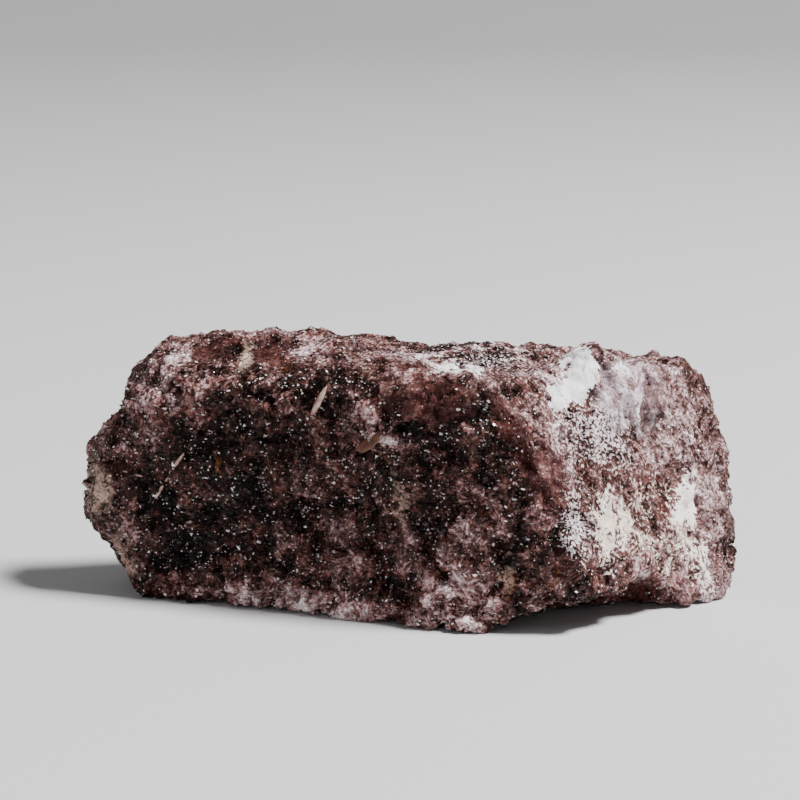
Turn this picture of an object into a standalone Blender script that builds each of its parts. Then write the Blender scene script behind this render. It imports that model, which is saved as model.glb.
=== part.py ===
"""A rough hand piece of lepidolite: one broken block of fine mica, lying on its widest fracture.

The block is cleaved face by face from a blank, and chips and hollows are knocked out of it. Its
skin is then broken up into lumps, ledges, pits and small flat facets, as fine-grained mica breaks.
Metres, +Z up. The broad dark fracture looks along -Y, and the block's length lies along X.
"""

import math

import bmesh
import bpy
from mathutils import Euler, Matrix, Vector, noise

MM = 0.001

# Driving sizes of the block and of its broken skin.
BLANK = (90 * MM, 60 * MM, 50 * MM)  # the blank that every fracture is cleaved from
BLANK_MIDDLE = 18 * MM  # how high the middle of the blank is
SKIN_GRAIN = 0.9 * MM  # spacing of the skin's points before it is thinned
EDGE_WEAR = 2  # how many times the skin is smoothed, which wears the sharp arrises down
LUMP_SPREAD, LUMP_HEIGHT = 11 * MM, 0.7 * MM
FACETS = ((4.6 * MM, 0.95 * MM), (2.3 * MM, 0.55 * MM))  # each size of facet and how far it tilts
LEDGE_STEP, LEDGE_HEIGHT = 2.8 * MM, 0.8 * MM  # the split mica that crosses the bright face
PIT_SPREAD, PIT_SHARE, PIT_DEPTH = 6.5 * MM, 0.28, 0.7 * MM
BED_WEAR = 0.6 * MM  # how deep the lowest bumps are worn flat where the piece lies
MOST_TRIANGLES = 8800  # left in the finished solid
SEED = 7

# Each fracture face: the way it looks, in degrees round from the front (-Y) towards +X and in
# degrees up, and a point in millimetres that it passes through.
FRACTURES = {
    "broad front": (-20, -2, (-13, -7, 15)),
    "front right": (-9, -4, (12, -15, 15)),
    "bright right": (35, 29, (16.2, -15.7, 19.3)),
    "lower right": (45, 14, (19.4, -15.6, 10.3)),
    "right end": (70, 2, (40.5, 3, 16)),
    "right shoulder": (80, 25, (41, 4, 23.3)),
    "right foot": (72, -36, (39.6, 2, 1.6)),
    "upper right": (78, 67, (34.2, 2, 28.4)),
    "top": (72, 86.4, (-8, 3, 31.9)),
    "top left": (-75, 77, (-27.5, 3, 33.1)),
    "front brow": (-26, 60, (-10, -8.1, 28.6)),
    "upper left": (-66, 35, (-32.2, 2, 26.1)),
    "left tip": (-84, 4, (-40.6, 4, 14)),
    "lower left": (-76, -33, (-37.3, 3, 6.5)),
    "back left": (-158, 6, (-18, 17, 15)),
    "back": (178, -5, (4, 19, 15)),
    "back right": (140, 10, (31.5, 15.2, 15)),
    "back brow": (179, 36, (-4, 11.5, 27)),
    "back chip": (-165, 42, (-26, 14, 26)),
    "bed": (0, -90, (0, 0, 0)),
}

# Hollows broken out of the faces: middle and half sizes in millimetres, and turn in degrees, of
# the ellipsoid that each one is a part of.
HOLLOWS = {
    "undercut": ((25, -12.6, -4), (18, 11.5, 8.2), (0, 0, 14)),
    "arched notch": ((28.4, -9.5, 3.0), (2.0, 6, 3.0), (0, 0, 38)),
    "quartz valley": ((30.4, -3.0, 27.0), (2.0, 2.6, 6.4), (-21, -9, 35)),
    "under the plate": ((-4.2, -11.6, 19.4), (3.4, 1.7, 1.5), (0, 0, -20)),
    "brow chip": ((-30.0, -6.6, 27.5), (4.5, 3.2, 2.6), (20, 0, 20)),
    "front hollow": ((-12, -19, 13), (17, 13.2, 9), (0, 0, -20)),
    "back hollow": ((-8, 40, 16), (24, 22.6, 16), (0, 0, 8)),
    "back step": ((19, 38, 7), (26, 21.4, 13), (0, 0, -6)),
    "end hollow": ((50, 13, 11), (12, 8, 9), (0, 0, 40)),
    "top saddle": ((13, 6, 45), (13, 13, 14.8), (0, 0, 0)),
}

# Swellings left proud of the faces, and one nick: middle and radius, and how far the skin moves
# there, all in millimetres.
SWELLINGS = {
    "toe": ((4, -13, 1), 9, (0, -1.4, 0)),
    "cap": ((21.3, -3, 30), 5.5, (0.2, -0.4, 2.8)),
    "quartz lump": ((26.2, -5, 27.6), 4.5, (0.5, -0.7, 0.5)),
    "plate": ((-4.8, -10.3, 22), 2.8, (0, -0.9, 0)),
    "left nick": ((-39.5, 1, 19.8), 3, (0.9, 0.3, 0)),
}

MICA = {"Base Color": (0.23, 0.13, 0.14, 1), "Roughness": 0.45, "Metallic": 0.0}


def direction(azimuth, lift):
    """The unit vector that looks azimuth degrees round from -Y and lift degrees up."""
    turn, rise = math.radians(azimuth), math.radians(lift)
    across = math.cos(rise)
    return Vector((math.sin(turn) * across, -math.cos(turn) * across, math.sin(rise)))


def object_of(name, bm):
    """Turns the working mesh bm into an object of the scene."""
    mesh = bpy.data.meshes.new(name)
    bm.to_mesh(mesh)
    bm.free()
    made = bpy.data.objects.new(name, mesh)
    bpy.context.collection.objects.link(made)
    return made


def cleave(bm, point, normal):
    """Splits the block along a plane, drops the outer part and closes the new face."""
    whole = bm.verts[:] + bm.edges[:] + bm.faces[:]
    cut = bmesh.ops.bisect_plane(
        bm, geom=whole, plane_co=point, plane_no=normal, clear_outer=True
    )
    rim = [e for e in cut["geom_cut"] if isinstance(e, bmesh.types.BMEdge)]
    if rim:
        bmesh.ops.contextual_create(bm, geom=rim)


def cleaved_block():
    """The blank with every fracture cleaved, as an object."""
    bm = bmesh.new()
    middle = Matrix.Translation((0, 0, BLANK_MIDDLE))
    bmesh.ops.create_cube(bm, size=1, matrix=middle @ Matrix.Diagonal((*BLANK, 1)))
    for azimuth, lift, point in FRACTURES.values():
        cleave(bm, Vector(point) * MM, direction(azimuth, lift))
    bmesh.ops.recalc_face_normals(bm, faces=bm.faces)
    return object_of("lepidolite", bm)


def knock_out(block, name, middle, half_sizes, turn):
    """Adds one hollow to the block, as an ellipsoid that a Boolean takes away."""
    bm = bmesh.new()
    bmesh.ops.create_icosphere(bm, subdivisions=4, radius=1)
    cutter = object_of(name, bm)
    place = Matrix.Translation(Vector(middle) * MM)
    tilt = Euler([math.radians(angle) for angle in turn]).to_matrix().to_4x4()
    cutter.data.transform(place @ tilt @ Matrix.Diagonal((*(Vector(half_sizes) * MM), 1)))
    cutter.hide_render = True
    cutter.display_type = "WIRE"
    chip = block.modifiers.new(name, "BOOLEAN")
    chip.operation = "DIFFERENCE"
    chip.object = cutter


def worked_out(block):
    """Replaces the block's mesh by what its modifiers make of it, and returns that mesh."""
    graph = bpy.context.evaluated_depsgraph_get()
    mesh = bpy.data.meshes.new_from_object(block.evaluated_get(graph))
    block.modifiers.clear()
    block.data = mesh
    return mesh


def wear(mesh):
    """Smooths the skin a little, so that its arrises are worn and not razor sharp."""
    bm = bmesh.new()
    bm.from_mesh(mesh)
    axes = {"use_axis_x": True, "use_axis_y": True, "use_axis_z": True}
    for _ in range(EDGE_WEAR):
        bmesh.ops.smooth_vert(bm, verts=bm.verts, factor=0.5, **axes)
    bm.to_mesh(mesh)
    bm.free()


def swell(point):
    """How far the swellings move a point of the skin."""
    lift = Vector((0, 0, 0))
    for middle, radius, push in SWELLINGS.values():
        near = 1 - (point - Vector(middle) * MM).length_squared / (radius * MM) ** 2
        if near > 0:
            lift += Vector(push) * MM * near * near
    return lift


def lumps(point):
    """Soft lumps all over, in shares of their height."""
    return noise.fractal(point / LUMP_SPREAD + Vector((3, 0, 0)), 1.0, 2.0, 3)


def facet(point, size):
    """Makes each cell of the skin one flat facet, tilted its own way."""
    place = point / size + Vector((size, size, size)) / (0.1 * MM)
    seed = noise.voronoi(place)[1][0]
    return (place - seed).dot(noise.noise_vector(seed * 7.31))


def pit(point):
    """A small dent in each cell of the skin, where a grain has dropped out."""
    return max(0.0, 1 - noise.voronoi(point / PIT_SPREAD)[0][0] / PIT_SHARE)


def ledge(point, face):
    """Steps of split mica that cross a face from its upper left to its lower right."""
    run = face.cross(Vector((0, 0, 1))).normalized()
    across = (run * 0.80 + run.cross(face) * 0.60).dot(point) / LEDGE_STEP
    across += 1.3 * noise.noise(point / (5 * LEDGE_STEP))
    return 0.5 - abs(across % 1.0 - 0.3)


def break_up(mesh):
    """Moves each point of the skin out or in, so that the fractures look broken and not sawn."""
    noise.seed_set(SEED)
    bright = direction(*FRACTURES["bright right"][:2])
    moved = []
    for vertex in mesh.vertices:
        point, outward = vertex.co.copy(), vertex.normal.copy()
        height = LUMP_HEIGHT * lumps(point) - PIT_DEPTH * pit(point)
        height += sum(tilt * facet(point, size) for size, tilt in FACETS)
        on_bright_face = max(0.0, 5 * outward.dot(bright) - 4)
        height += LEDGE_HEIGHT * on_bright_face * ledge(point, bright)
        moved.append(point + swell(point) + outward * height)
    for vertex, place in zip(mesh.vertices, moved):
        vertex.co = place


def set_down(mesh):
    """Wears the lowest bumps flat, so that the piece lies still, and puts the origin under it."""
    bed = min(v.co.z for v in mesh.vertices) + BED_WEAR
    for vertex in mesh.vertices:
        vertex.co.z = max(vertex.co.z, bed)
    across = [v.co.x for v in mesh.vertices]
    along = [v.co.y for v in mesh.vertices]
    middle = Vector((min(across) + max(across), min(along) + max(along), 2 * bed)) / 2
    mesh.transform(Matrix.Translation(-middle))


def mica_material():
    """A plain mauve-brown mica."""
    material = bpy.data.materials.new("lepidolite")
    material.use_nodes = True
    shader = material.node_tree.nodes["Principled BSDF"]
    for socket, value in MICA.items():
        shader.inputs[socket].default_value = value
    return material


def main():
    for old in list(bpy.data.objects):
        bpy.data.objects.remove(old)
    block = cleaved_block()
    for name, (middle, half_sizes, turn) in HOLLOWS.items():
        knock_out(block, name, middle, half_sizes, turn)
    skin = block.modifiers.new("skin", "REMESH")
    skin.mode = "VOXEL"
    skin.voxel_size = SKIN_GRAIN
    mesh = worked_out(block)
    wear(mesh)
    break_up(mesh)
    triangles = sum(len(face.vertices) - 2 for face in mesh.polygons)
    thin = block.modifiers.new("thin", "DECIMATE")
    thin.ratio = min(1.0, MOST_TRIANGLES / triangles)
    mesh = worked_out(block)
    set_down(mesh)
    mesh.name = "lepidolite"
    mesh.materials.clear()
    mesh.materials.append(mica_material())


if __name__ == "__main__":
    main()
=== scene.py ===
"""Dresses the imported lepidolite: its grainy skin, its mica flakes, and their finishes.

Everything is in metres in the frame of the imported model. Tables of places on the stone are in
millimetres in that same frame.
"""

import math
import random

import bmesh
import bpy
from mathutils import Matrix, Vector, noise


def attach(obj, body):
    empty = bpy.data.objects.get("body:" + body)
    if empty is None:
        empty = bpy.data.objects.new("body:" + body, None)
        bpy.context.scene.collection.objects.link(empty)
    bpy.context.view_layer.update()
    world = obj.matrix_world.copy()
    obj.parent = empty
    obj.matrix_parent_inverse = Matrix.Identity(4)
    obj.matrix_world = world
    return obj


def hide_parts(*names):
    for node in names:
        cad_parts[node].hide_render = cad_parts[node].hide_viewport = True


MM = 0.001
SEED = 11

# The skin. From CRYSTALS to LEDGE, sizes are in millimetres.
SKIN_GRAIN = 0.385 * MM  # spacing of the skin's points
SKIN_PASSES = 3  # smoothing passes, which take the solid's small triangles out of sight
CRYSTALS = ((4.4, 0.95), (2.2, 0.80), (1.1, 0.40))  # how wide each size is, and how far it tilts
PITS = ((2.6, 0.44, 0.95), (1.3, 0.36, 0.40))  # spread of the pits, their share of it, and their depth
LUMP = (4.2, 0.34)  # spread and height of the soft lumps under them
LEDGE = (2.1, 0.5)  # spacing and height of the split mica's edges on the bright face
COARSENESS = {"front": 1.0, "bright": 0.6, "brow": 0.35, "back": 0.8}  # shares of the relief
GLASSY_COARSENESS = 0.35  # the same on quartz and feldspar
DEEPEST, PROUDEST = -1.1, 0.5  # how far the grain may move the skin, in millimetres

# Single dents and swellings of the skin: one end and the other of a line, how far they reach
# from it, and how far they push the skin out, all in millimetres.
RELIEF = (
    ((7.0, -15.2, 29.4), (12.0, -17.4, 21.6), 1.9, -0.90),
    ((8.6, -15.6, 30.0), (14.4, -17.2, 20.4), 0.9, 0.55),
    ((14.2, -17.2, 20.4), (19.6, -17.3, 8.0), 1.0, 0.30),
    ((22.6, -7.6, 31.4), (23.6, -9.2, 26.4), 1.3, -0.80),
    ((28.9, -3.6, 28.4), (29.6, -5.0, 23.0), 2.2, -1.20),
    ((25.6, -6.2, 29.2), (27.0, -6.6, 24.4), 1.9, 0.50),
    ((29.4, -4.0, 24.0), (37.6, 1.0, 6.0), 1.1, -0.45),
    ((26.9, -11.0, 1.4), (27.2, -6.0, 2.6), 2.7, -2.0),
    ((40.6, 2.0, 4.6), (41.4, 7.0, 4.6), 4.2, -1.20),
    ((-6.4, -12.9, 20.8), (-2.6, -13.8, 20.8), 1.7, -0.60),
    ((-12.5, -9.5, 30.4), (4.0, -12.0, 30.4), 1.2, 0.30),
    ((0.0, -13.8, 8.4), (9.0, -16.4, 8.0), 1.2, 0.35),
)

# Where the faces of the stone meet: x in millimetres for a height z in millimetres.
RIDGE_UPPER = (28.6, -0.707)
RIDGE_LOWER = (22.7, -0.36)
CREASE = (39.4, -0.385)
FOLIATION = (0.571, -0.147, -0.808)  # the way that the split mica runs on the bright face

# The stone's tone, from 0 at the darkest mica to 1 at the palest, and how far each face and each
# grain moves it. The front is darker and the bright face paler partly for their minerals and
# partly as painted shade and light, for how the light falls on them.
FRONT_TONE = 0.275
BRIGHT_TONE, END_TONE = 0.325, -0.03
BROW_TONE, BACK_TONE, RIDGE_TONE = 0.18, 0.17, -0.23
MOTTLE_TONE, SPECK_TONE, SHEET_TONE = 0.8, 0.65, 0.75
# The last of these paints shade into pits and light onto proud points.
CRYSTAL_TONE, GRIT_TONE, FLAKE_TONE, PAINTED_RELIEF_SHADE = 0.20, 0.14, 0.20, 0.30

# Patches of the stone's tone, from dark mica (below 0) to pale (above 0): middle, half sizes,
# and how much paler. A few dark ones are painted shade: in the hollow by the quartz, in the scoop
# by the ridge and in the arched notch.
TONES = (
    ((-29.5, 4.0, 31.0), (3.0, 6.0, 2.4), 0.20),
    ((-31.0, -1.0, 27.6), (1.8, 4.0, 1.6), 0.18),
    ((-13.0, -1.0, 32.0), (4.0, 4.0, 1.6), 0.16),
    ((-2.0, -3.0, 31.6), (3.2, 4.0, 1.6), 0.14),
    ((-21.5, -1.0, 31.4), (3.4, 4.0, 2.0), -0.30),
    ((-25.5, 1.0, 32.0), (2.4, 3.0, 1.8), -0.22),
    ((-17.0, -2.0, 31.0), (2.6, 4.0, 1.8), -0.26),
    ((5.5, -10.0, 31.2), (4.6, 6.0, 0.9), 0.34),
    ((10.0, -3.0, 31.0), (8.0, 6.0, 1.4), -0.24),
    ((1.5, -14.0, 27.0), (6.4, 5.0, 2.6), -0.30),
    ((-5.9, -12.8, 24.8), (1.2, 4.0, 2.8), 0.38),
    ((-3.2, -13.5, 23.6), (1.9, 3.0, 0.9), 0.42),
    ((-36.5, 0.0, 19.5), (3.6, 6.0, 4.4), 0.14),
    ((-32.5, 0.0, 26.0), (4.0, 6.0, 4.2), 0.20),
    ((-28.6, -4.0, 15.2), (2.9, 4.0, 2.4), 0.10),
    ((-25.0, -4.5, 11.2), (2.8, 4.0, 1.1), 0.18),
    ((-27.0, -4.0, 14.0), (10.0, 8.0, 10.0), -0.19),
    ((-15.5, -8.0, 10.0), (2.2, 4.0, 1.9), 0.12),
    ((-22.5, -5.0, 6.0), (2.4, 4.0, 1.6), 0.10),
    ((-27.0, -3.0, 2.6), (6.0, 5.0, 2.0), 0.22),
    ((-12.0, -8.0, 1.0), (13.5, 8.0, 2.4), 0.42),
    ((4.0, -15.0, 3.6), (5.6, 6.0, 4.8), 0.25),
    ((-20.0, -6.0, 22.4), (6.0, 5.0, 4.0), -0.05),
    ((15.2, -17.3, 18.8), (2.6, 4.0, 3.8), -0.12),
    ((-2.0, -14.0, 14.0), (1.0, 4.0, 3.6), 0.16),
    ((9.5, -17.0, 13.0), (2.6, 3.0, 3.2), 0.12),
    ((21.3, -11.0, 22.8), (5.0, 6.0, 4.4), -0.26),
    # Painted shade in the hollow beside the quartz.
    ((29.0, -4.6, 25.6), (1.2, 4.0, 3.2), -0.38),
    ((19.4, -17.0, 13.4), (2.3, 4.0, 4.6), -0.06),
    ((16.8, -14.5, 22.0), (2.0, 4.0, 4.6), 0.16),
    ((21.4, -13.0, 18.6), (4.0, 4.0, 1.6), -0.16),
    # Painted shade in the scoop along the ridge.
    ((12.8, -15.0, 27.0), (2.6, 4.0, 2.8), -0.05),
    ((8.4, -16.8, 25.6), (1.8, 4.0, 3.4), -0.05),
    ((11.2, -17.4, 21.4), (1.5, 4.0, 2.6), -0.05),
    ((-0.6, -13.6, 24.9), (2.4, 4.0, 1.5), 0.12),
    ((35.0, 0.0, 22.0), (6.0, 8.0, 9.0), 0.05),
    # Painted shade inside the arched notch.
    ((27.3, -8.0, 2.2), (2.0, 6.0, 2.4), -0.34),
    ((29.0, -7.0, 8.6), (7.0, 8.0, 6.0), -0.07),
)

# White and cream feldspar: middle, half sizes, how solid, and how yellow.
FELDSPAR = (
    ((19.2, -8.0, 30.2), (2.3, 7.0, 3.0), 1.1, 0.1),
    ((17.4, -11.6, 27.4), (1.6, 4.0, 1.5), 0.9, 0.1),
    ((24.7, -6.0, 30.2), (0.8, 2.0, 0.7), 1.1, 0.0),
    ((23.2, -12.0, 12.4), (3.2, 5.0, 6.4), 0.66, 1.0),
    ((33.0, -2.6, 12.4), (2.6, 4.0, 3.4), 0.85, 0.2),
    ((34.0, -2.6, 5.6), (3.0, 4.0, 4.2), 0.62, 0.9),
    ((28.5, -7.0, 10.4), (8.4, 8.0, 7.6), 0.45, 0.9),
    ((26.9, -6.4, 24.6), (0.8, 3.0, 2.4), 0.8, 0.0),
    ((5.4, -9.6, 31.3), (3.9, 4.0, 0.6), 0.8, 0.1),
    ((9.0, 16.0, 19.0), (8.5, 7.0, 2.4), 0.47, 0.8),
    ((-17.0, 13.0, 10.0), (2.6, 7.0, 8.0), 0.42, 0.5),
    ((27.0, 11.0, 24.0), (6.0, 7.0, 4.0), 0.50, 0.2),
    ((36.0, 8.0, 9.0), (3.0, 6.0, 6.0), 0.48, 0.5),
)

# White flakes on dark mica, like pepper and salt: middle, half sizes, and how strong.
PEPPERED = (
    ((21.3, -11.0, 22.8), (5.2, 6.0, 4.6), 1.0),
    ((19.2, -17.0, 13.6), (2.2, 5.0, 4.8), 0.9),
    ((12.6, -16.0, 26.4), (3.2, 4.0, 3.2), 0.35),
    ((-13.0, -1.0, 32.0), (4.4, 4.0, 1.6), 0.5),
    ((-2.0, -3.0, 31.8), (3.6, 4.0, 1.4), 0.5),
    ((-30.0, 2.0, 30.6), (3.2, 6.0, 2.6), 0.35),
    ((10.0, -4.0, 31.4), (9.0, 8.0, 1.6), 0.6),
    ((36.0, 0.0, 22.0), (4.0, 6.0, 6.0), 0.3),
)

# Stains of iron, and painted shade in the arched notch: middle, half sizes, and how strong.
RUST_AND_NOTCH_SHADE = (
    ((1.7, -5.4, 31.4), (0.7, 1.5, 0.7), 1.0),
    ((21.0, -8.6, 29.2), (0.6, 1.6, 0.7), 0.8),
    ((20.2, -9.8, 27.4), (0.7, 1.6, 0.9), 0.6),
    ((10.5, -16.6, 6.3), (0.8, 2.0, 1.3), 0.6),
    ((-23.2, -5.4, 17.6), (0.6, 2.0, 1.1), 0.8),
    ((-15.2, -4.4, 30.0), (2.0, 2.0, 0.7), 0.3),
    # Painted shade inside the arched notch.
    ((27.4, -8.0, 2.4), (1.6, 4.0, 1.2), 0.30),
    ((15.8, -17.0, 7.0), (0.5, 2.0, 1.4), 0.5),
    ((-3.6, -14.0, 21.8), (1.2, 2.0, 0.7), 0.3),
)

# Tan, weathered rims and veins: middle, half sizes, and how strong.
TAN = (
    ((-40.2, 0.5, 13.6), (2.0, 5.0, 4.0), 0.9),
    ((-36.6, -0.5, 5.2), (1.6, 4.0, 3.0), 0.8),
    ((-21.0, -1.0, 30.8), (1.0, 3.0, 3.0), 0.8),
    ((-2.2, -14.0, 15.6), (0.9, 3.0, 3.4), 0.5),
    ((10.2, -16.7, 6.8), (0.8, 1.8, 1.2), 1.0),
    ((30.0, 6.0, 20.0), (2.0, 6.0, 5.0), 0.4),
    ((-10.0, 14.0, 22.0), (5.0, 6.0, 1.4), 0.6),
)

# Single places: middle and half sizes.
PLATEAU = ((10.0, -3.0, 31.6), (10.0, 8.0, 1.5))  # the layered top
QUARTZ = ((26.4, -5.2, 27.2), (4.6, 5.2, 4.8))  # the clear grey lump
# Painted shade: the quartz's hollow side is painted darker.
QUARTZ_HOLLOW_SHADE = ((29.3, -4.6, 25.4), (1.5, 3.5, 3.2))  # its darker side

# Two lenses of deep red mica on the ridge: middle and half sizes.
DEEP_RED = ((10.6, -17.4, 25.2), (1.2, 2.0, 1.5)), ((13.3, -17.2, 21.4), (1.0, 2.0, 1.6))

# Mica colours, from the darkest to the palest, in linear light.
WARM_MICA = (
    (0.00, (0.004, 0.0010, 0.0007)),
    (0.25, (0.030, 0.0080, 0.0056)),
    (0.45, (0.112, 0.037, 0.028)),
    (0.62, (0.262, 0.122, 0.115)),
    (0.80, (0.50, 0.300, 0.300)),
    (1.00, (0.86, 0.68, 0.67)),
)
COOL_MICA = (
    (0.00, (0.0035, 0.0014, 0.0013)),
    (0.25, (0.024, 0.0095, 0.0080)),
    (0.45, (0.096, 0.045, 0.038)),
    (0.62, (0.235, 0.132, 0.132)),
    (0.80, (0.48, 0.34, 0.35)),
    (1.00, (0.90, 0.81, 0.84)),
)

# Colours of the quartz and of clear maroon mica, which also paint the shade in the notch, from the deepest
# to the palest.
QUARTZ_SHADES = ((0.34, (0.19, 0.12, 0.12)), (0.48, (0.44, 0.33, 0.36)), (0.64, (0.88, 0.78, 0.85)))
MAROON_SHADES = ((0.3, (0.022, 0.005, 0.0045)), (0.5, (0.075, 0.021, 0.018)), (0.7, (0.20, 0.085, 0.078)))

# Clear maroon mica, where little sparkles, and painted shade in the arched notch: middle, half sizes, and
# how strong.
MAROON_AND_NOTCH_SHADE = (
    ((-25.6, 1.0, 32.0), (2.3, 3.0, 1.8), 0.8),
    ((-17.2, -1.5, 31.2), (2.8, 3.5, 1.9), 0.8),
    ((1.5, -13.5, 27.8), (5.6, 5.0, 1.9), 0.9),
    ((-1.0, -9.0, 29.9), (4.5, 4.0, 1.3), 0.6),
    ((15.6, -17.0, 18.6), (2.4, 4.0, 4.0), 0.75),
    ((9.6, -16.2, 27.0), (1.0, 3.0, 2.6), 0.9),
    ((12.4, -17.3, 22.8), (1.0, 3.0, 3.0), 0.9),
    ((21.6, -12.0, 18.4), (3.6, 4.0, 1.3), 0.5),
    ((16.5, -17.0, 9.6), (1.6, 3.0, 2.4), 0.6),
    # Painted shade inside the arched notch.
    ((26.9, -7.0, 2.6), (2.3, 4.6, 3.0), 1.0),
)

# Flat colours, in linear light.
DARK_FLECKS = ((0.080, 0.024, 0.020), (0.036, 0.015, 0.014))  # among warm and among cool mica
WHITE_FLECK = (0.86, 0.76, 0.79)
# Colours of the painted glints on the skin.
PAINTED_GLINT_COLOURS = ((0.40, 0.30, 0.30), (0.97, 0.94, 0.97))  # the dullest and the brightest
FELDSPAR_COLOURS = ((0.91, 0.895, 0.92), (0.80, 0.62, 0.42))  # white and cream
TAN_COLOUR = (0.60, 0.425, 0.34)
RUST_AND_NOTCH_SHADE_COLOUR = (0.30, 0.105, 0.032)
DEEP_RED_COLOUR = (0.05, 0.008, 0.006)
BLADE_COLOURS = ((0.62, 0.44, 0.37), (0.33, 0.19, 0.15))
PLATE_COLOURS = ((0.125, 0.045, 0.022), (0.05, 0.017, 0.010))
FLOOR_COLOUR = (0.62, 0.62, 0.63)

# How each glint flake is coloured, from dusty mauve to white: the pale shades are painted glints, pale in
# any light.
GLINT_SHADES = (
    (0.0, (0.22, 0.12, 0.115)),
    (0.38, (0.42, 0.30, 0.305)),
    (0.58, (0.88, 0.83, 0.86)),
    (0.8, (0.97, 0.95, 0.97)),
)

# How the flakes lie on each face: flakes on a square millimetre, half widths of the smallest and
# the largest in millimetres, and how much they lean.
FLAKES = {
    "front": (3.2, (0.11, 0.42), 0.42),
    "bright": (2.6, (0.09, 0.32), 0.24),
    "brow": (2.4, (0.09, 0.30), 0.20),
    "back": (1.9, (0.11, 0.40), 0.26),
}

# The same for the small glints, which turn towards the main light.
GLINTS = {
    "front": (1.00, (0.045, 0.33), 0.36),
    "bright": (0.90, (0.045, 0.24), 0.35),
    "brow": (0.60, (0.045, 0.28), 0.30),
    "back": (0.60, (0.045, 0.34), 0.35),
}

# Narrow blades that lie on the skin: one end, the other end, half width and height, millimetres.
BLADES = (
    ((-10.6, -11.0, 29.4), (-12.8, -9.6, 24.9), 0.36, 0.42),
    ((-28.4, -4.0, 19.2), (-30.2, -3.0, 16.6), 0.22, 0.22),
    ((-30.6, -2.6, 15.9), (-32.6, -2.0, 12.2), 0.24, 0.24),
    ((-33.8, -1.6, 15.7), (-36.4, -0.8, 16.4), 0.16, 0.2),
    ((-20.6, -0.5, 31.0), (-21.8, -1.8, 28.6), 0.3, 0.25),
    ((15.9, -17.0, 8.3), (15.6, -17.0, 5.6), 0.24, 0.25),
)

PLATE = ((-5.6, -13.0, 22.4), (1.95, 0.85), 0.24)  # the rusty plate: middle, half sizes, thickness

# The studio, in metres and watts.
KEY = (0.594, -0.198, 0.924)  # where the main light stands
KEY_SIZE, KEY_POWER, KEY_COLOUR = 0.264, 31.9, (1.0, 0.985, 0.97)
FILL = (-0.45, -0.50, 0.50)  # where the weak light on the left stands
FILL_SIZE, FILL_POWER = 0.5, 0.5
SKY_COLOUR, SKY_STRENGTH = (0.9, 0.92, 0.95, 1), 0.12

# The floor's profile: distance from the middle, and height where it curves up far away.
FLOOR = (
    (0.02, 0.0),
    (0.2, 0.0),
    (0.5, 0.0),
    (0.9, 0.0),
    (1.15, 0.04),
    (1.35, 0.16),
    (1.5, 0.36),
    (1.58, 0.62),
    (1.6, 1.0),
)
FLOOR_SIDES = 72

EYE, AIM = (-2.015, -320.406, 93.15), (-2.015, -1.921, 25.454)  # of the camera, in millimetres
LENS, SENSOR = 120, 36


class Field:
    """A value that varies over a surface: one output socket, with arithmetic that adds nodes."""

    def __init__(self, finish, socket):
        self.finish, self.socket = finish, socket

    def _with(self, operation, first, second):
        vector = any(
            isinstance(side, tuple) or getattr(getattr(side, "socket", 0), "type", "") in ("VECTOR", "RGBA")
            for side in (first, second)
        )
        if not vector:
            return self.finish.add("ShaderNodeMath", {"operation": operation}, {0: first, 1: second})
        first, second = ((side,) * 3 if isinstance(side, (int, float)) else side for side in (first, second))
        return self.finish.add("ShaderNodeVectorMath", {"operation": operation}, {0: first, 1: second})

    def __add__(self, other):
        return self._with("ADD", self, other)

    __radd__ = __add__

    def __sub__(self, other):
        return self._with("SUBTRACT", self, other)

    def __rsub__(self, other):
        return self._with("SUBTRACT", other, self)

    def __mul__(self, other):
        return self._with("MULTIPLY", self, other)

    __rmul__ = __mul__

    def __truediv__(self, other):
        return self._with("DIVIDE", self, other)

    def least(self, other):
        return self._with("MINIMUM", self, other)

    def most(self, other):
        return self._with("MAXIMUM", self, other)

    def dot(self, other):
        operation = {"operation": "DOT_PRODUCT"}
        return self.finish.add("ShaderNodeVectorMath", operation, {0: self, 1: other}, "Value")

    def length(self):
        return self.finish.add("ShaderNodeVectorMath", {"operation": "LENGTH"}, {0: self}, "Value")

    def unit(self):
        return self.finish.add("ShaderNodeVectorMath", {"operation": "NORMALIZE"}, {0: self})

    def rise(self, low, high):
        """0 below low, 1 above high, and smooth between them. With low above high it falls."""
        span = {"Value": self, "From Min": low, "From Max": high}
        return self.finish.add("ShaderNodeMapRange", {"interpolation_type": "SMOOTHSTEP"}, span)

    def also(self, output):
        """Another output of the same node."""
        return Field(self.finish, self.socket.node.outputs[output])


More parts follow.
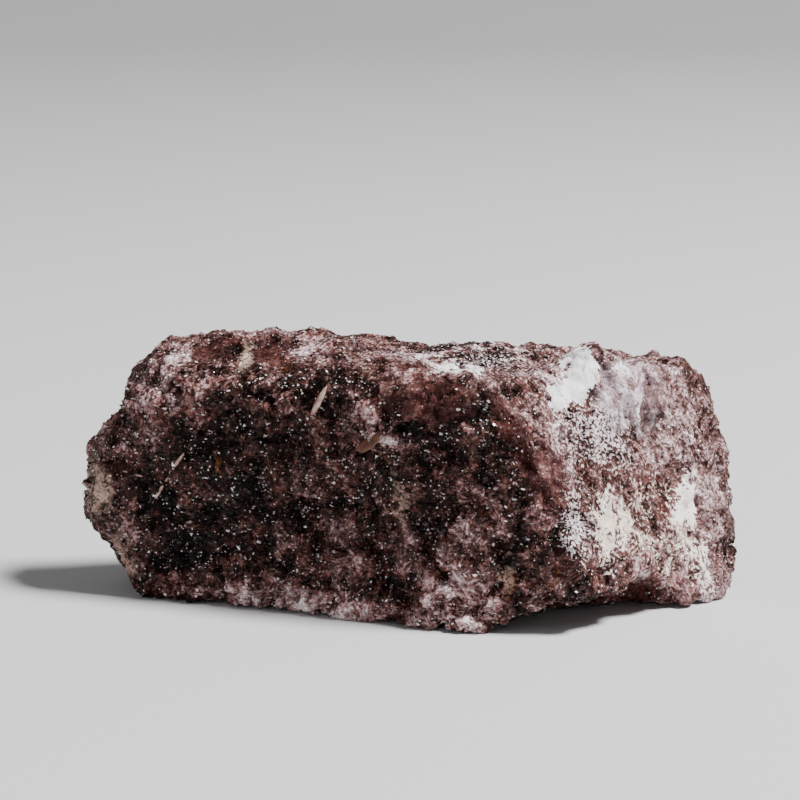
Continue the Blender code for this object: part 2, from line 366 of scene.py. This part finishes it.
class Finish:
    """A material, built node by node."""

    def __init__(self, name):
        self.material = bpy.data.materials.new(name)
        self.material.use_nodes = True
        self.tree = self.material.node_tree
        self.tree.nodes.clear()

    def add(self, kind, settings, values, output=0):
        """Adds a node: its settings first, then its sockets' values or links."""
        node = self.tree.nodes.new(kind)
        for name, value in settings.items():
            if name == "stops":
                band = node.color_ramp
                for _ in value[2:]:
                    band.elements.new(0.5)
                for stop, (place, colour) in zip(band.elements, value):
                    stop.position, stop.color = place, (*colour, 1)
            else:
                setattr(node, name, value)
        for name, value in values.items():
            by_name = {socket.identifier: socket for socket in node.inputs}
            socket = by_name.get(name) or node.inputs[name]
            if isinstance(value, Field):
                self.tree.links.new(value.socket, socket)
            elif socket.type == "RGBA":
                socket.default_value = (*value[:3], 1)
            else:
                socket.default_value = value
        if not node.outputs:
            return None
        return Field(self, node.outputs[output])

    def blend(self, share, first, second, kind="MIX"):
        """Mixes two colours."""
        settings = {"data_type": "RGBA", "blend_type": kind}
        values = {"Factor_Float": share, "A_Color": first, "B_Color": second}
        return self.add("ShaderNodeMix", settings, values, "Result")

    def ramp(self, share, stops):
        return self.add("ShaderNodeValToRGB", {"stops": stops}, {"Fac": share})

    def cloud(self, place, spread, detail=2.0, roughness=0.55):
        """Soft noise around 0, with features about spread millimetres across."""
        values = {"Vector": place, "Scale": 1 / spread, "Detail": detail, "Roughness": roughness}
        return self.add("ShaderNodeTexNoise", {}, values)

    def cells(self, place, spread):
        """Crystals about spread millimetres across: the distance from each one's middle."""
        return self.add("ShaderNodeTexVoronoi", {}, {"Vector": place, "Scale": 1 / spread})

    def patch(self, place, middle, half, edge=0.35):
        """1 inside an ellipsoid and 0 outside it."""
        away = ((place - middle) / half).length()
        return away.rise(1 + edge, 1 - edge)

    def parts(self, vector):
        return [
            self.add("ShaderNodeSeparateXYZ", {}, {"Vector": vector}, output)
            for output in ("X", "Y", "Z")
        ]

    def close(self, sockets):
        """Ends the tree with its shader."""
        shader = self.add("ShaderNodeBsdfPrincipled", {}, sockets)
        self.add("ShaderNodeOutputMaterial", {}, {"Surface": shader})
        return self.material


def mica_finish(name, shine=0.0, lift=0.0, facets=0.85):
    """The stone's own finish. Flakes use it too, shinier and flatter."""
    stone = Finish(name)
    place = stone.add("ShaderNodeTexCoord", {}, {}, "Object") * (1 / MM)
    looks = stone.add("ShaderNodeNewGeometry", {}, {}, "Normal")
    x, y, z = stone.parts(place)

    wander = stone.cloud(place, 5.0, 3.0).also("Color") - (0.5, 0.5, 0.5)
    ragged = stone.cloud(place, 1.1, 2.0).also("Color") - (0.5, 0.5, 0.5)
    rough_place = place + wander * 6.5 + ragged * 3.0

    # Where the faces are. Each is in millimetres past the arris, turned into a share.
    bend = stone.cloud(place, 2.2, 2.0) * 2.6 - 1.3
    ridge = (z * RIDGE_UPPER[1] + RIDGE_UPPER[0]).least(z * RIDGE_LOWER[1] + RIDGE_LOWER[0])
    past_ridge = x - ridge
    bright = (past_ridge + bend * 0.45).rise(-0.25, 0.5)
    behind = y.rise(2.0, 7.0)
    bright = bright * (1 - behind * 0.5)
    end = (x - (z * CREASE[1] + CREASE[0]) + bend).rise(-0.8, 1.2)
    brow = (z + bend * 0.8 - behind * 6.0).rise(28.6, 30.8)

    # The bright face is streaked where the mica is split.
    along = place.dot(FOLIATION) * bright * -0.55
    run = place + stone.add(
        "ShaderNodeVectorMath", {"operation": "SCALE"}, {0: FOLIATION, "Scale": along}
    )
    mild = place + (run - place) * 0.45
    mottle = stone.cloud(run, 6.5, 2.0) - 0.5
    blotch = stone.cloud(run + (31.0, 7.0, 3.0), 2.0, 3.0, 0.6) - 0.5
    speck = stone.cloud(mild + (3.0, 17.0, 9.0), 0.42, 3.0, 0.62) - 0.5
    book = stone.cells(mild + ragged * 0.8, 1.25)
    book_colour = stone.parts(book.also("Color"))
    book_tilt = book.also("Color") - (0.5, 0.5, 0.5)
    sheets = {"W": place.dot(book_tilt.unit()), "Scale": 3.4, "Detail": 2.0, "Roughness": 0.6}
    lines = stone.add("ShaderNodeTexNoise", {"noise_dimensions": "1D"}, sheets) - 0.5
    crystal = stone.cells(mild, 0.46)
    colour_of = stone.parts(crystal.also("Color"))
    grit = stone.cells(place + (0.4, 0.2, 0.7), 0.21)
    grit_colour = stone.parts(grit.also("Color"))

    def marked(table, edge):
        share = None
        for middle, half, strength in table:
            spot = stone.patch(rough_place, middle, half, edge) * strength
            share = spot if share is None else share.most(spot)
        return share

    by_ridge = past_ridge.rise(6.0, 0.5) * bright
    # Partly painted shade and light: the front starts dark and the bright face paler, for their minerals and
    # for how the light falls on them.
    tone = FRONT_TONE + lift + bright * (BRIGHT_TONE + END_TONE * end)
    tone = tone + brow * BROW_TONE * (1 - bright)
    tone = tone + by_ridge * RIDGE_TONE
    tone = tone + behind * BACK_TONE * (1 - bright)
    for middle, half, paler in TONES:
        tone = tone + stone.patch(rough_place, middle, half, 0.45) * paler
    tone = tone + mottle * MOTTLE_TONE + blotch * (1.05 - bright * 0.35)
    # Painted shade and light: pits are painted darker and proud points paler, by how far the skin stands
    # out.
    standing = stone.add("ShaderNodeAttribute", {"attribute_name": "standing"}, {}, "Fac")
    tone = tone + standing.least(0.4).most(-0.8) * PAINTED_RELIEF_SHADE
    plateau = stone.patch(rough_place, *PLATEAU, 0.3)
    layers = stone.cloud(place * (0.28, 1.0, 1.0), 1.1, 3.0, 0.6) - 0.5
    tone = tone + (layers * 7.0 - 0.15) * plateau
    tone = tone + speck * SPECK_TONE + lines * SHEET_TONE
    tone = tone + (book_colour[0] - 0.5) * CRYSTAL_TONE + (colour_of[0] - 0.5) * CRYSTAL_TONE
    tone = tone + (grit_colour[0] - 0.5) * GRIT_TONE
    own = stone.add("ShaderNodeAttribute", {"attribute_name": "own"}, {}, "Fac")
    tone = tone + own * FLAKE_TONE

    pale_here = bright.most(brow)
    hue = stone.cloud(place + (50.0, 0.0, 0.0), 3.6, 3.0, 0.6) + (colour_of[1] - 0.5) * 0.3
    hue = (hue + 0.04 + pale_here * 0.05 + end * bright * 0.10).rise(0.36, 0.60)
    colour = stone.blend(hue, stone.ramp(tone, WARM_MICA), stone.ramp(tone, COOL_MICA))

    # Dark flecks all over the pale faces, and white ones where it is peppered.
    peppered = marked(PEPPERED, 0.95)
    fleck = stone.cloud(mild + (70.0, 3.0, 5.0), 0.34, 2.0, 0.5) - 0.5
    pepper = (fleck + blotch * 0.35 + peppered * 0.07).rise(0.075, 0.125) * pale_here
    dark_fleck = stone.blend(hue, *DARK_FLECKS)
    colour = stone.blend(pepper * 0.85, colour, dark_fleck)
    salt = (peppered * 0.30 - fleck - blotch * 0.35).rise(0.23, 0.29)
    colour = stone.blend(salt * 0.9, colour, WHITE_FLECK)

    # Painted glints: small crystal faces painted near white, in clusters, as highlights that show in any
    # light. They are smoother too.
    clustered = (stone.cloud(place + (9.0, 90.0, 4.0), 1.7, 2.0) - pale_here * 0.04).rise(0.42, 0.66)
    painted_glint = (grit_colour[2] + clustered * 0.035).rise(0.985, 0.996)
    painted_glint_colour = stone.blend((grit_colour[1] - 0.2).most(0.0), *PAINTED_GLINT_COLOURS)
    colour = stone.blend(painted_glint * 0.95, colour, painted_glint_colour)

    maroon_and_notch_shade = marked(MAROON_AND_NOTCH_SHADE, 0.5) * (speck + blotch * 0.6 + 0.5).rise(0.76, 0.55)
    depth = stone.ramp(blotch + speck * 0.5 + 0.5, MAROON_SHADES)
    colour = stone.blend(maroon_and_notch_shade, colour, depth)

    quartz = stone.patch(rough_place, *QUARTZ, 0.5) * (speck + 0.5).rise(0.30, 0.46)
    glass = stone.cells(place * (1.2, 1.0, 0.6) + ragged * 0.4, 1.1)
    glassy = stone.cloud(place * (1.5, 1.0, 0.5), 1.8, 3.0, 0.6) * 0.7
    glassy = glassy + stone.parts(glass.also("Color"))[0] * 0.3
    # Painted shade on the quartz's hollow side.
    glassy = glassy - stone.patch(rough_place, *QUARTZ_HOLLOW_SHADE, 0.6) * 0.22
    clear = stone.ramp(glassy, QUARTZ_SHADES)
    colour = stone.blend(quartz * 0.85, colour, clear)

    tan = marked(TAN, 0.4) * (blotch + speck + 0.5).rise(0.30, 0.60)
    colour = stone.blend(tan * 0.85, colour, TAN_COLOUR)

    white = None
    yellow = None
    for middle, half, solid, warmth in FELDSPAR:
        spot = stone.patch(rough_place, middle, half, 0.5) * solid
        white = spot if white is None else white.most(spot)
        rim = stone.patch(rough_place + (0.9, 0.0, -0.4), middle, half, 0.5) * warmth
        yellow = rim if yellow is None else yellow.most(rim)
    white = (white + blotch * 1.1 + speck * 1.3 + lines * 0.5 + (colour_of[2] - 0.5) * 0.12).rise(0.48, 0.66)
    yellow = yellow * (blotch + speck * 0.6 + 0.5).rise(0.38, 0.60) * 0.75
    cream = stone.blend(yellow, *FELDSPAR_COLOURS)
    colour = stone.blend(white, colour, cream)

    rust_and_notch_shade = marked(RUST_AND_NOTCH_SHADE, 0.45) * (speck * 1.4 + 0.5).rise(0.30, 0.62)
    colour = stone.blend(rust_and_notch_shade * 0.85, colour, RUST_AND_NOTCH_SHADE_COLOUR)

    red = stone.patch(rough_place, *DEEP_RED[0]).most(stone.patch(rough_place, *DEEP_RED[1]))
    colour = stone.blend(red * 0.85, colour, DEEP_RED_COLOUR)

    # Each crystal faces its own way, so some catch the light and the next one doesn't.
    tilt = crystal.also("Color") - (0.5, 0.5, 0.5)
    small_tilt = grit.also("Color") - (0.5, 0.5, 0.5)
    dull = white.most(rust_and_notch_shade)
    turned = (tilt + book_tilt * 0.8) * ((1 - dull.most(quartz) * 0.8) * facets)
    face = (looks + turned + small_tilt * (facets * 0.15 + 0.2)).unit()
    bump = {"Height": speck + blotch + lines, "Distance": 0.0002, "Strength": 0.6, "Normal": face}
    relief = stone.add("ShaderNodeBump", {}, bump)
    rough = 0.30 + grit_colour[1] * 0.35 + dull * 0.2 - shine - quartz * 0.2 - painted_glint * 0.2
    return stone.close(
        {
            "Base Color": colour,
            "Roughness": rough.most(0.09),
            "Normal": relief,
            "Specular IOR Level": 0.30 if shine else 0.09,
        }
    )


def glint_finish():
    """Mica flakes, each in its own shade from dusty mauve to white: the pale shades are painted glints,
    bright in any light.
    """
    made = Finish("mica with painted glints")
    own = made.add("ShaderNodeAttribute", {"attribute_name": "own"}, {}, "Fac")
    colour = made.ramp(own + 0.5, GLINT_SHADES)
    return made.close({"Base Color": colour, "Roughness": 0.11, "Specular IOR Level": 1.0})


def plain_finish(name, colours, spread, rough):
    """A finish for the small single pieces: two shades that run into each other."""
    made = Finish(name)
    place = made.add("ShaderNodeTexCoord", {}, {}, "Object") * (1 / MM)
    grain = made.cells(place, spread).also("Color").dot((0.3, 0.3, 0.3)) - 0.45
    share = made.cloud(place, spread, 3.0, 0.6) + grain * 0.5
    shade = made.blend(share.rise(0.3, 0.65), *colours)
    relief = made.add("ShaderNodeBump", {}, {"Height": share, "Distance": 0.0002, "Strength": 0.7})
    return made.close({"Base Color": shade, "Roughness": rough, "Normal": relief})


def object_of(name, mesh, finish, smooth=True):
    """A new object with one finish, linked into the scene."""
    made = bpy.data.objects.new(name, mesh)
    bpy.context.scene.collection.objects.link(made)
    mesh.materials.clear()
    mesh.materials.append(finish)
    for face in mesh.polygons:
        face.use_smooth = smooth
    return made


def crystal_tilt(point, across):
    """How far a point of the skin stands out where each cell of it is one tilted crystal face."""
    place = point / (across * MM) + Vector((across, 2 * across, 0)) * 7
    seed = noise.voronoi(place)[1][0]
    return (place - seed).dot(noise.noise_vector(seed * 5.17))


def pit(point, spread, share):
    """How deep a pit is at a point of the skin, as a share. Some cells have none."""
    away, seeds = noise.voronoi(point / (spread * MM))
    deep = max(0.0, 0.5 + 1.4 * noise.noise(seeds[0] * 3.7))
    return min(1.0, deep) * max(0.0, 1 - away[0] / share)


def pushed(place):
    """How far the single dents and swellings push a point of the skin out, in millimetres."""
    push = 0.0
    for start, end, reach, out in RELIEF:
        start, way = Vector(start), Vector(end) - Vector(start)
        share = max(0.0, min(1.0, (place - start).dot(way) / way.length_squared))
        near = 1 - (place - start - way * share).length_squared / reach**2
        if near > 0:
            push += out * near * near
    return push


def roughened(mesh):
    """Moves the skin's points in and out, as crystals, ledges, small lumps and pits."""
    noise.seed_set(SEED)
    places, heights = [], []
    glassy = ((QUARTZ[0], QUARTZ[1]),) + FELDSPAR
    for vertex in mesh.vertices:
        point, outward = vertex.co.copy(), vertex.normal.copy()
        place = point / MM
        zone = zone_of(place)
        height = sum(tilt * 2 * crystal_tilt(point, across) for across, tilt in CRYSTALS)
        for spread, share, depth in PITS:
            height -= depth * pit(point, spread, share)
        height *= GLASSY_COARSENESS if inside(place, glassy) else COARSENESS[zone]
        height += LUMP[1] * 2 * noise.fractal(point / (LUMP[0] * MM), 1.0, 2.0, 3)
        if zone == "bright":
            height += LEDGE[1] * ledge(place)
        height = max(DEEPEST, min(PROUDEST, height * 0.9))
        height += pushed(place + noise.noise_vector(place / 2.2) * 0.5)
        places.append(point + outward * height * MM)
        heights.append(height)
    for vertex, place in zip(mesh.vertices, places):
        vertex.co = (place.x, place.y, max(place.z, 0.0))
    standing = mesh.attributes.new("standing", "FLOAT", "POINT")
    standing.data.foreach_set("value", heights)


def ledge(place):
    """A sawtooth across the foliation: the broken edges of the split mica."""
    across = Vector(FOLIATION).cross(Vector((0.50, -0.72, 0.48)))
    step = across.dot(place) / LEDGE[0] + 0.9 * noise.noise(place / 5)
    return 0.4 - abs(step % 1.0 - 0.25)


def stone_skin(block, finish):
    """The stone's skin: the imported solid, finer and grainy."""
    mesh = block.data.copy()
    mesh.name = "mica_skin"
    skin = object_of("mica_skin", mesh, finish)
    remesh = skin.modifiers.new("grain", "REMESH")
    remesh.mode = "VOXEL"
    remesh.voxel_size = SKIN_GRAIN
    smooth = skin.modifiers.new("smooth", "SMOOTH")
    smooth.iterations = SKIN_PASSES
    smooth.factor = 0.5
    graph = bpy.context.evaluated_depsgraph_get()
    fine = bpy.data.meshes.new_from_object(skin.evaluated_get(graph))
    skin.modifiers.clear()
    skin.data = fine
    fine.name = "mica_skin"
    roughened(fine)
    for face in fine.polygons:
        face.use_smooth = True
    fine.materials.clear()
    fine.materials.append(finish)
    return skin


def zone_of(point):
    """Which face of the stone a point in millimetres is on."""
    ridge = min(RIDGE_UPPER[0] + RIDGE_UPPER[1] * point.z, RIDGE_LOWER[0] + RIDGE_LOWER[1] * point.z)
    if point.y > 5:
        return "back"
    if point.x > ridge:
        return "bright"
    if point.z > 29.5:
        return "brow"
    return "front"


def inside(place, table):
    """Whether a point in millimetres is in one of a table's patches."""
    for middle, half, *_ in table:
        away = place - Vector(middle)
        if sum((away[i] / half[i]) ** 2 for i in range(3)) < 1:
            return True
    return False


def flake(points, faces, owns, middle, out, across, thick, sides, dice):
    """Adds one closed mica plate to the lists, with a shade of its own."""
    start = len(points)
    turn = Vector((0, 0, 1)).rotation_difference(out)
    spin = dice.uniform(0, 2 * math.pi)
    squash = dice.uniform(0.3, 1.0)
    ring = []
    for i in range(sides):
        angle = spin + 2 * math.pi * (i + dice.uniform(-0.22, 0.22)) / sides
        reach = across * dice.uniform(0.8, 1.15)
        ring.append(Vector((math.cos(angle) * reach, math.sin(angle) * reach * squash, 0)))
    for level in (-thick, thick):
        for corner in ring:
            points.append(middle + turn @ (corner * (1 if level > 0 else 1.05) + Vector((0, 0, level))))
    faces.append(tuple(start + i for i in reversed(range(sides))))
    faces.append(tuple(start + sides + i for i in range(sides)))
    for i in range(sides):
        j = (i + 1) % sides
        faces.append((start + i, start + j, start + sides + j, start + sides + i))
    owns += [max(-0.5, min(0.5, dice.gauss(0, 0.27)))] * (2 * sides)


def flakes(name, skin, zones, table, finish, seed, bias=0.0, stand=0.1):
    """Mica flakes all over some faces of the stone, as one piece. Bias turns them to the light."""
    dice = random.Random(seed)
    points, faces, owns = [], [], []
    light = Vector(KEY).normalized()
    smooth_face = Vector(QUARTZ[0]), Vector(QUARTZ[1]) * 0.8
    for face in skin.data.polygons:
        place = face.center / MM
        zone = zone_of(place)
        if zone not in zones:
            continue
        many, (low, high), lean = table[zone]
        few = 0.25 if inside(place, FELDSPAR + TAN + (smooth_face,)) else 1.0
        if bias:
            few *= max(0.15, 0.8 + 5.0 * noise.noise(place / 1.6))
        if dice.random() > many * few * face.area * 1e6:
            continue
        across = (low + (high - low) * dice.random() ** (7.0 if bias else 2.0)) * MM
        tilt = Vector((dice.gauss(0, 1), dice.gauss(0, 1), dice.gauss(0, 1))) * lean
        if dice.random() < 0.2 and across < 0.22 * MM:
            tilt *= 1.9
        towards = light if zone != "back" else Vector((0, 0, 1))
        if across > 0.2 * MM and not bias:
            tilt *= 0.6
        out = (face.normal + tilt + towards * bias).normalized()
        thick = across * dice.uniform(0.10, 0.2)
        middle = face.center + face.normal * across * (stand + dice.uniform(-0.15, 0.15))
        if middle.z < 1.3 * across:
            continue
        sides = dice.choice((3, 4, 4, 5)) if bias else dice.choice((4, 5, 5, 6))
        flake(points, faces, owns, middle, out, across, thick, sides, dice)
    mesh = bpy.data.meshes.new(name)
    mesh.from_pydata(points, [], faces)
    mesh.update()
    mesh.attributes.new("own", "FLOAT", "POINT").data.foreach_set("value", owns)
    return object_of(name, mesh, finish, smooth=False)


def closed_up(name, bm, rings, finish):
    """Joins rings of points into one closed piece."""
    bm.faces.new(rings[0][::-1])
    bm.faces.new(rings[-1])
    for first, second in zip(rings, rings[1:]):
        for k in range(len(first)):
            m = (k + 1) % len(first)
            bm.faces.new((first[k], first[m], second[m], second[k]))
    bmesh.ops.recalc_face_normals(bm, faces=bm.faces)
    mesh = bpy.data.meshes.new(name)
    bm.to_mesh(mesh)
    bm.free()
    return object_of(name, mesh, finish)


def blade(name, skin, start, end, half_width, height, finish, seed):
    """A narrow pointed blade of another mineral that lies on the skin."""
    dice = random.Random(seed)
    start, outward = skin.closest_point_on_mesh(Vector(start) * MM)[1:3]
    end, other = skin.closest_point_on_mesh(Vector(end) * MM)[1:3]
    outward = (outward + other).normalized()
    along = (end - start).normalized()
    across = outward.cross(along).normalized()
    bm = bmesh.new()
    rings = []
    steps, sides = 14, 8
    for i in range(steps + 1):
        share = i / steps
        wide = half_width * MM * (0.1 + math.sin(math.pi * share) ** 0.6) * dice.uniform(0.85, 1.05)
        tall = height * MM * (0.2 + 0.8 * math.sin(math.pi * share) ** 0.6)
        middle = start.lerp(end, share) + across * dice.uniform(-0.03, 0.03) * MM
        ring = []
        for k in range(sides):
            angle = 2 * math.pi * k / sides
            lift = math.sin(angle) * tall
            ring.append(bm.verts.new(middle + across * math.cos(angle) * wide + outward * lift))
        rings.append(ring)
    return closed_up(name, bm, rings, finish)


def rusty_plate(name, skin, finish):
    """The thin rusty plate that overhangs a hollow in the dark face."""
    dice = random.Random(5)
    middle, (wide, deep), thick = PLATE
    near, outward = skin.closest_point_on_mesh(Vector(middle) * MM)[1:3]
    outward = (outward * 0.4 + Vector((-0.45, -0.30, 0.75))).normalized()
    across = outward.cross(Vector((0.8, -0.2, 0.55))).normalized()
    along = across.cross(outward)
    bm = bmesh.new()
    rings, sides = [], 18
    for level, shrink in ((-0.5, 0.55), (-0.5, 0.95), (0.0, 1.05), (0.5, 0.93), (0.5, 0.5)):
        dice.seed(9)
        ring = []
        for k in range(sides):
            angle = 2 * math.pi * k / sides
            reach = shrink * dice.uniform(0.8, 1.12)
            bend = 0.18 * math.cos(angle) ** 2 * shrink
            rim = (along * math.cos(angle) * wide + across * math.sin(angle) * deep) * reach * MM
            raised = outward * (level * thick + 0.15 + bend) * MM
            ring.append(bm.verts.new(near + rim + raised))
        rings.append(ring)
    return closed_up(name, bm, rings, finish)


def studio():
    """The pale floor, the soft lights and the camera."""
    bm = bmesh.new()
    rings = []
    angles = [2 * math.pi * i / FLOOR_SIDES for i in range(FLOOR_SIDES)]
    for reach, height in FLOOR:
        ring = [(reach * math.cos(angle), reach * math.sin(angle), height) for angle in angles]
        rings.append([bm.verts.new(place) for place in ring])
    bm.faces.new(rings[0])
    for inner, outer in zip(rings, rings[1:]):
        for i in range(FLOOR_SIDES):
            j = (i + 1) % FLOOR_SIDES
            bm.faces.new((inner[i], outer[i], outer[j], inner[j]))
    mesh = bpy.data.meshes.new("floor")
    bm.to_mesh(mesh)
    bm.free()
    pale = Finish("pale floor")
    floor = object_of("floor", mesh, pale.close({"Base Color": FLOOR_COLOUR, "Roughness": 0.9}))

    def lamp(name, place, size, watts, tint=(1, 1, 1)):
        data = bpy.data.lights.new(name, "AREA")
        data.shape = "DISK"
        data.size, data.energy, data.color = size, watts, tint
        made = bpy.data.objects.new(name, data)
        made.location = place
        made.rotation_mode = "QUATERNION"
        made.rotation_quaternion = (Vector((0, 0, 0.015)) - Vector(place)).to_track_quat("-Z", "Y")
        bpy.context.scene.collection.objects.link(made)

    lamp("key", KEY, KEY_SIZE, KEY_POWER, KEY_COLOUR)
    lamp("fill", FILL, FILL_SIZE, FILL_POWER)

    world = bpy.data.worlds.new("studio")
    bpy.context.scene.world = world
    world.use_nodes = True
    sky = world.node_tree.nodes["Background"]
    sky.inputs["Color"].default_value = SKY_COLOUR
    sky.inputs["Strength"].default_value = SKY_STRENGTH

    data = bpy.data.cameras.new("camera")
    data.lens, data.sensor_width = LENS, SENSOR
    camera = bpy.data.objects.new("camera", data)
    eye, aim = Vector(EYE) * MM, Vector(AIM) * MM
    camera.location = eye
    camera.rotation_mode = "QUATERNION"
    camera.rotation_quaternion = (aim - eye).to_track_quat("-Z", "Y")
    data.clip_start, data.clip_end = 0.01, 10
    bpy.context.scene.collection.objects.link(camera)
    bpy.context.scene.camera = camera


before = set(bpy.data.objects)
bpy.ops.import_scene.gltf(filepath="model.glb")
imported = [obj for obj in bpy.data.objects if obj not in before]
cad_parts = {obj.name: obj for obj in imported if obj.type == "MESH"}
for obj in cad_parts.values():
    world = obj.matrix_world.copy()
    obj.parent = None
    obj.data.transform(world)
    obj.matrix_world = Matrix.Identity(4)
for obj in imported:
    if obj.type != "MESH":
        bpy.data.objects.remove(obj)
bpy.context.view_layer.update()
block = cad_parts["lepidolite"]

rock_finish = mica_finish("lepidolite mica")
flake_finish = mica_finish("mica flakes", shine=0.22, lift=0.02, facets=0.25)
painted_glint_finish = glint_finish()
cream_finish = plain_finish("cream blades", BLADE_COLOURS, 1.1, 0.5)
rusty_finish = plain_finish("rusty plate", PLATE_COLOURS, 0.7, 0.45)

skin = stone_skin(block, rock_finish)
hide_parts("lepidolite")
pieces = [skin]
for name, zones, seed in (
    ("front_flakes", ("front",), 1),
    ("bright_flakes", ("bright", "brow"), 2),
    ("back_flakes", ("back",), 3),
):
    pieces.append(flakes(name, skin, zones, FLAKES, flake_finish, seed))
pieces.append(flakes("glints", skin, tuple(GLINTS), GLINTS, painted_glint_finish, 4, bias=1.0, stand=0.4))
for number, (start, end, wide, tall) in enumerate(BLADES):
    pieces.append(blade(f"blade_{number + 1}", skin, start, end, wide, tall, cream_finish, number))
pieces.append(rusty_plate("rusty_plate", skin, rusty_finish))
for piece in pieces:
    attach(piece, "root")

studio()
